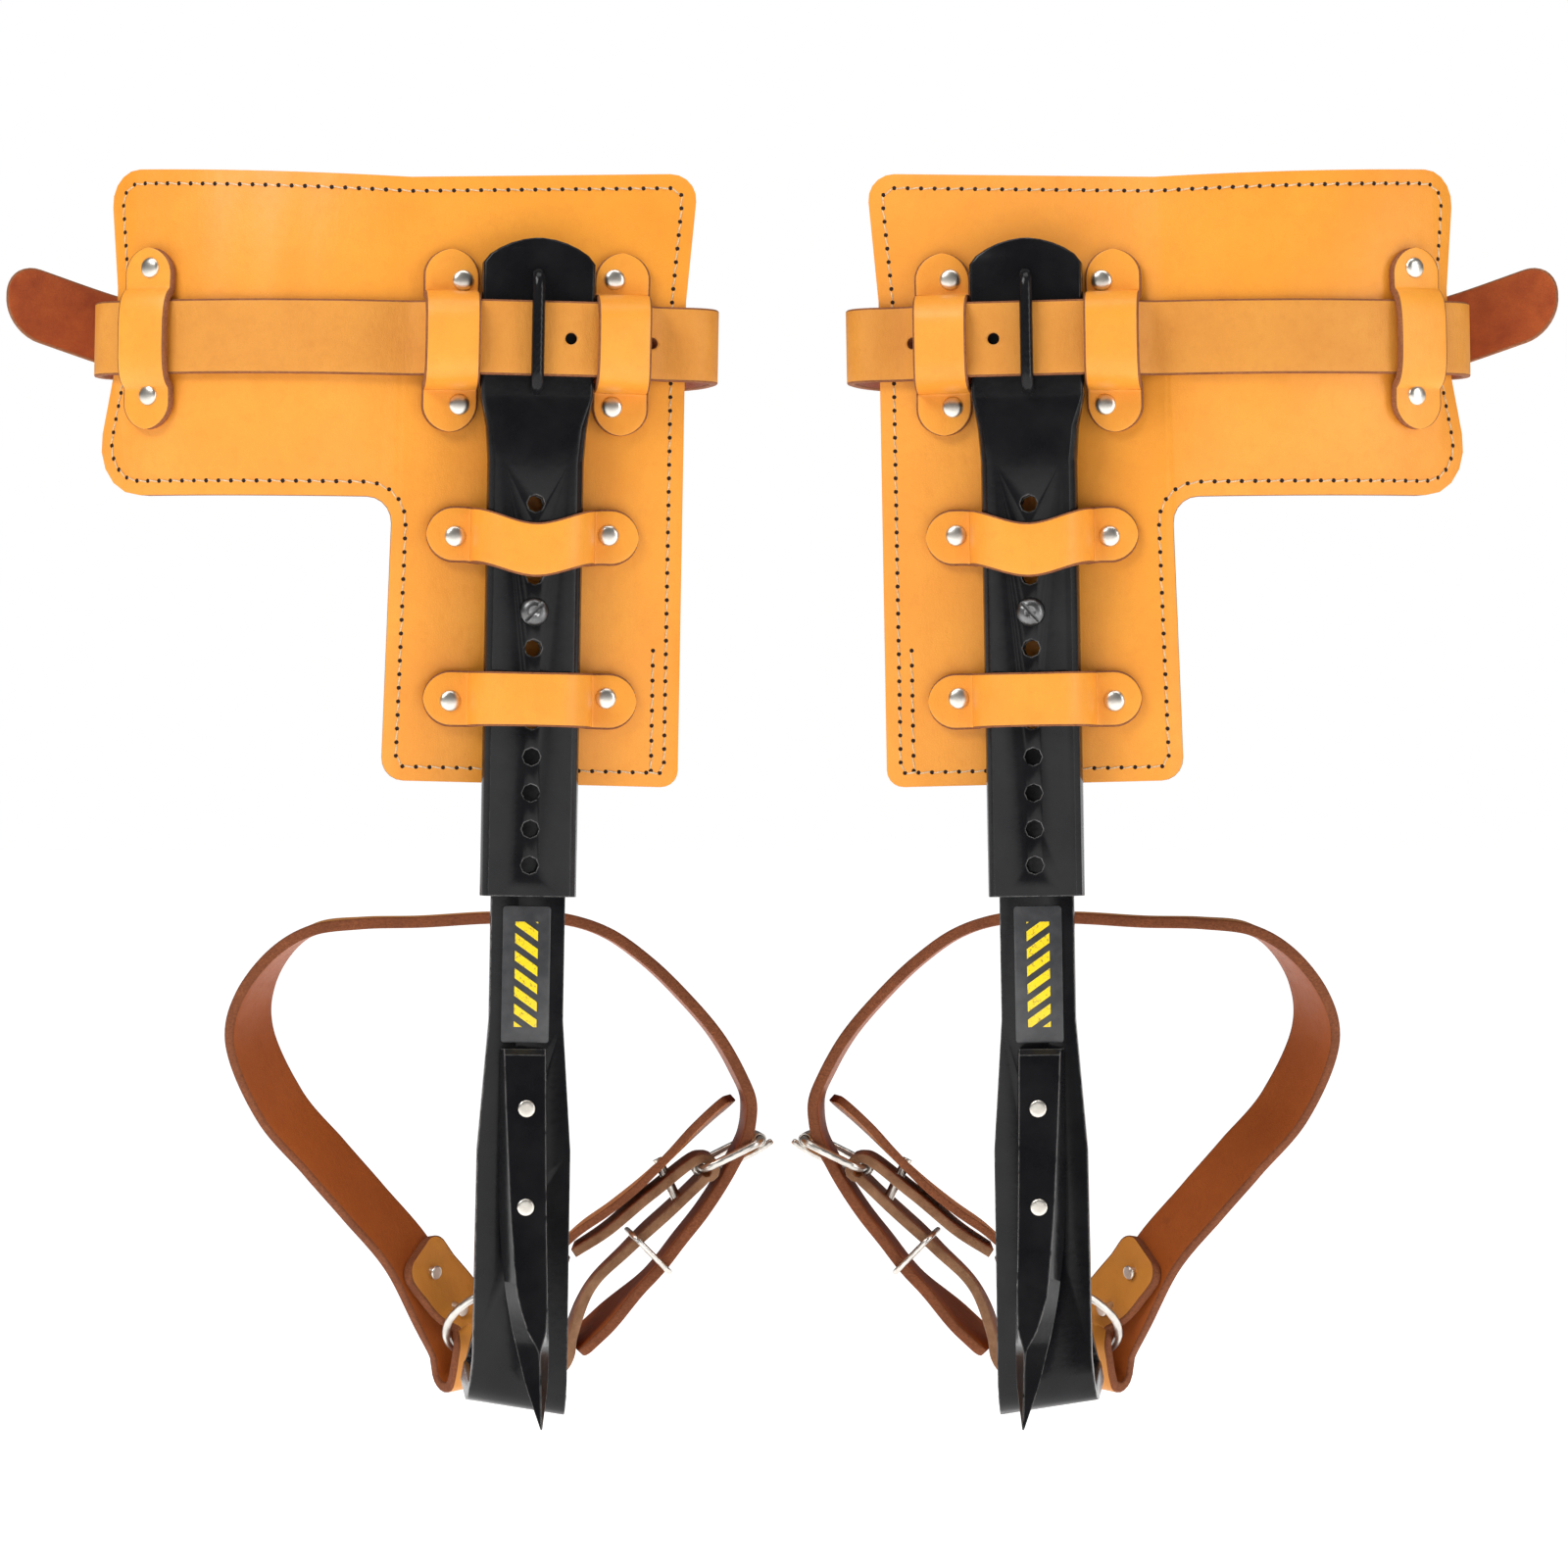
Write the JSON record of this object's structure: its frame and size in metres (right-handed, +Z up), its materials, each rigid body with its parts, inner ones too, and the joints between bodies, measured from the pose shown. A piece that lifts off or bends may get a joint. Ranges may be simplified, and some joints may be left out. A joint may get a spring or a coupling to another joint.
{
  "type": "pair of tree climbing spurs",
  "caption": "Pair of tree climbing spurs: offset steel shanks with gaffs and foot plates, height-adjusting sleeves, stitched leather calf pads, and buckled calf and foot straps.",
  "frame": {"origin": "midway between the two spurs, level with the tops of the foot plates on the shanks' centre lines", "axes": "+Z up, +X across the pair towards the right spur, +Y towards the boots, so the gaffs point along -Y and down"},
  "size_m": [0.5602, 0.1961, 0.4458],
  "materials": {
    "black_steel": "gloss",
    "label_film": "satin",
    "nickel": "satin",
    "pad_leather": "satin",
    "strap_leather": "satin",
    "foot_leather": "satin",
    "chape_suede": "matte"
  },
  "bodies": {
    "left_upper": {"left_sleeve": "black_steel", "left_strap_bar": "black_steel", "left_adjust_nut": "nickel", "left_pad_outer": "pad_leather", "left_pad_lining": "pad_leather", "left_loop_wing": "pad_leather", "left_loop_strap_left": "pad_leather", "left_loop_strap_right": "pad_leather", "left_loop_sleeve_upper": "pad_leather", "left_loop_sleeve_lower": "pad_leather", "left_calf_strap": "strap_leather", "left_calf_buckle_frame": "nickel"},
    "left_climber": {"left_shank": "black_steel", "left_gaff": "black_steel", "left_gaff_rivet_lower": "nickel", "left_gaff_rivet_upper": "nickel", "left_label": "label_film"},
    "left_foot_strap_set": {"left_foot_ring": "nickel", "left_foot_strap": "foot_leather", "left_foot_strap_rivet_upper": "nickel", "left_foot_strap_rivet_lower": "nickel", "left_foot_chape": "chape_suede", "left_chape_rivet": "nickel", "left_buckle_guard": "strap_leather", "left_foot_buckle_frame": "nickel"},
    "left_screw": {"left_adjust_screw": "black_steel"},
    "left_calf_prong": {"left_calf_buckle_prong": "nickel"},
    "left_foot_prong": {"left_foot_buckle_prong": "nickel"},
    "left_roller": {"left_foot_buckle_roller": "nickel"},
    "left_keeper": {"left_keeper_loop": "nickel"},
    "right_upper": {"right_sleeve": "black_steel", "right_strap_bar": "black_steel", "right_adjust_nut": "nickel", "right_pad_outer": "pad_leather", "right_pad_lining": "pad_leather", "right_loop_wing": "pad_leather", "right_loop_strap_left": "pad_leather", "right_loop_strap_right": "pad_leather", "right_loop_sleeve_upper": "pad_leather", "right_loop_sleeve_lower": "pad_leather", "right_calf_strap": "strap_leather", "right_calf_buckle_frame": "nickel"},
    "right_climber": {"right_shank": "black_steel", "right_gaff": "black_steel", "right_gaff_rivet_lower": "nickel", "right_gaff_rivet_upper": "nickel", "right_label": "label_film"},
    "right_foot_strap_set": {"right_foot_ring": "nickel", "right_foot_strap": "foot_leather", "right_foot_strap_rivet_upper": "nickel", "right_foot_strap_rivet_lower": "nickel", "right_foot_chape": "chape_suede", "right_chape_rivet": "nickel", "right_buckle_guard": "strap_leather", "right_foot_buckle_frame": "nickel"},
    "right_screw": {"right_adjust_screw": "black_steel"},
    "right_calf_prong": {"right_calf_buckle_prong": "nickel"},
    "right_foot_prong": {"right_foot_buckle_prong": "nickel"},
    "right_roller": {"right_foot_buckle_roller": "nickel"},
    "right_keeper": {"right_keeper_loop": "nickel"}
  },
  "joints": [
    {"name": "left_height_adjust", "type": "slide", "parent": "left_upper", "child": "left_climber", "axis": [0.0177, 0.0019, 0.9998], "range_m": [-0.0889, 0.0381]},
    {"name": "left_ring_swing", "type": "hinge", "parent": "left_climber", "child": "left_foot_strap_set", "pos_m": [-0.10499, 0.10449, 0.02803], "axis": [0.9607, 0.101, 0.2585], "range_deg": [-30, 30]},
    {"name": "left_screw_turn", "type": "hinge", "parent": "left_upper", "child": "left_screw", "pos_m": [-0.08784, 0.00051, 0.27426], "axis": [-0.1045, 0.9945, 0], "continuous": true},
    {"name": "left_calf_prong_swing", "type": "hinge", "parent": "left_upper", "child": "left_calf_prong", "pos_m": [-0.21184, 0.06792, 0.37254], "axis": [0.0177, 0.0019, 0.9998], "range_deg": [0, 5]},
    {"name": "left_foot_prong_swing", "type": "hinge", "parent": "left_foot_strap_set", "child": "left_foot_prong", "pos_m": [-0.03025, 0.12323, 0.07183], "axis": [-0.1045, 0.9945, 0], "range_deg": [0, 3]},
    {"name": "left_roller_spin", "type": "hinge", "parent": "left_foot_strap_set", "child": "left_roller", "pos_m": [-0.00938, 0.12542, 0.08213], "axis": [-0.1045, 0.9945, 0], "continuous": true},
    {"name": "left_keeper_slide", "type": "slide", "parent": "left_foot_strap_set", "child": "left_keeper", "axis": [0.7421, -0.116, 0.6601], "range_m": [0, 0.006]},
    {"name": "right_height_adjust", "type": "slide", "parent": "right_upper", "child": "right_climber", "axis": [-0.0177, 0.0019, 0.9998], "range_m": [-0.0889, 0.0381]},
    {"name": "right_ring_swing", "type": "hinge", "parent": "right_climber", "child": "right_foot_strap_set", "pos_m": [0.10499, 0.10449, 0.02803], "axis": [0.9607, -0.101, -0.2585], "range_deg": [-30, 30]},
    {"name": "right_screw_turn", "type": "hinge", "parent": "right_upper", "child": "right_screw", "pos_m": [0.08784, 0.00051, 0.27426], "axis": [-0.1045, -0.9945, 0], "continuous": true},
    {"name": "right_calf_prong_swing", "type": "hinge", "parent": "right_upper", "child": "right_calf_prong", "pos_m": [0.21184, 0.06792, 0.37254], "axis": [0.0177, -0.0019, -0.9998], "range_deg": [0, 5]},
    {"name": "right_foot_prong_swing", "type": "hinge", "parent": "right_foot_strap_set", "child": "right_foot_prong", "pos_m": [0.03025, 0.12323, 0.07183], "axis": [-0.1045, -0.9945, 0], "range_deg": [0, 3]},
    {"name": "right_roller_spin", "type": "hinge", "parent": "right_foot_strap_set", "child": "right_roller", "pos_m": [0.00938, 0.12542, 0.08213], "axis": [-0.1045, -0.9945, 0], "continuous": true},
    {"name": "right_keeper_slide", "type": "slide", "parent": "right_foot_strap_set", "child": "right_keeper", "axis": [-0.7421, -0.116, 0.6601], "range_m": [0, 0.006]},
    {"name": "pair_apart", "type": "slide", "parent": "left_upper", "child": "right_upper", "axis": [1, 0, 0], "range_m": [0, 0.15]}
  ]
}
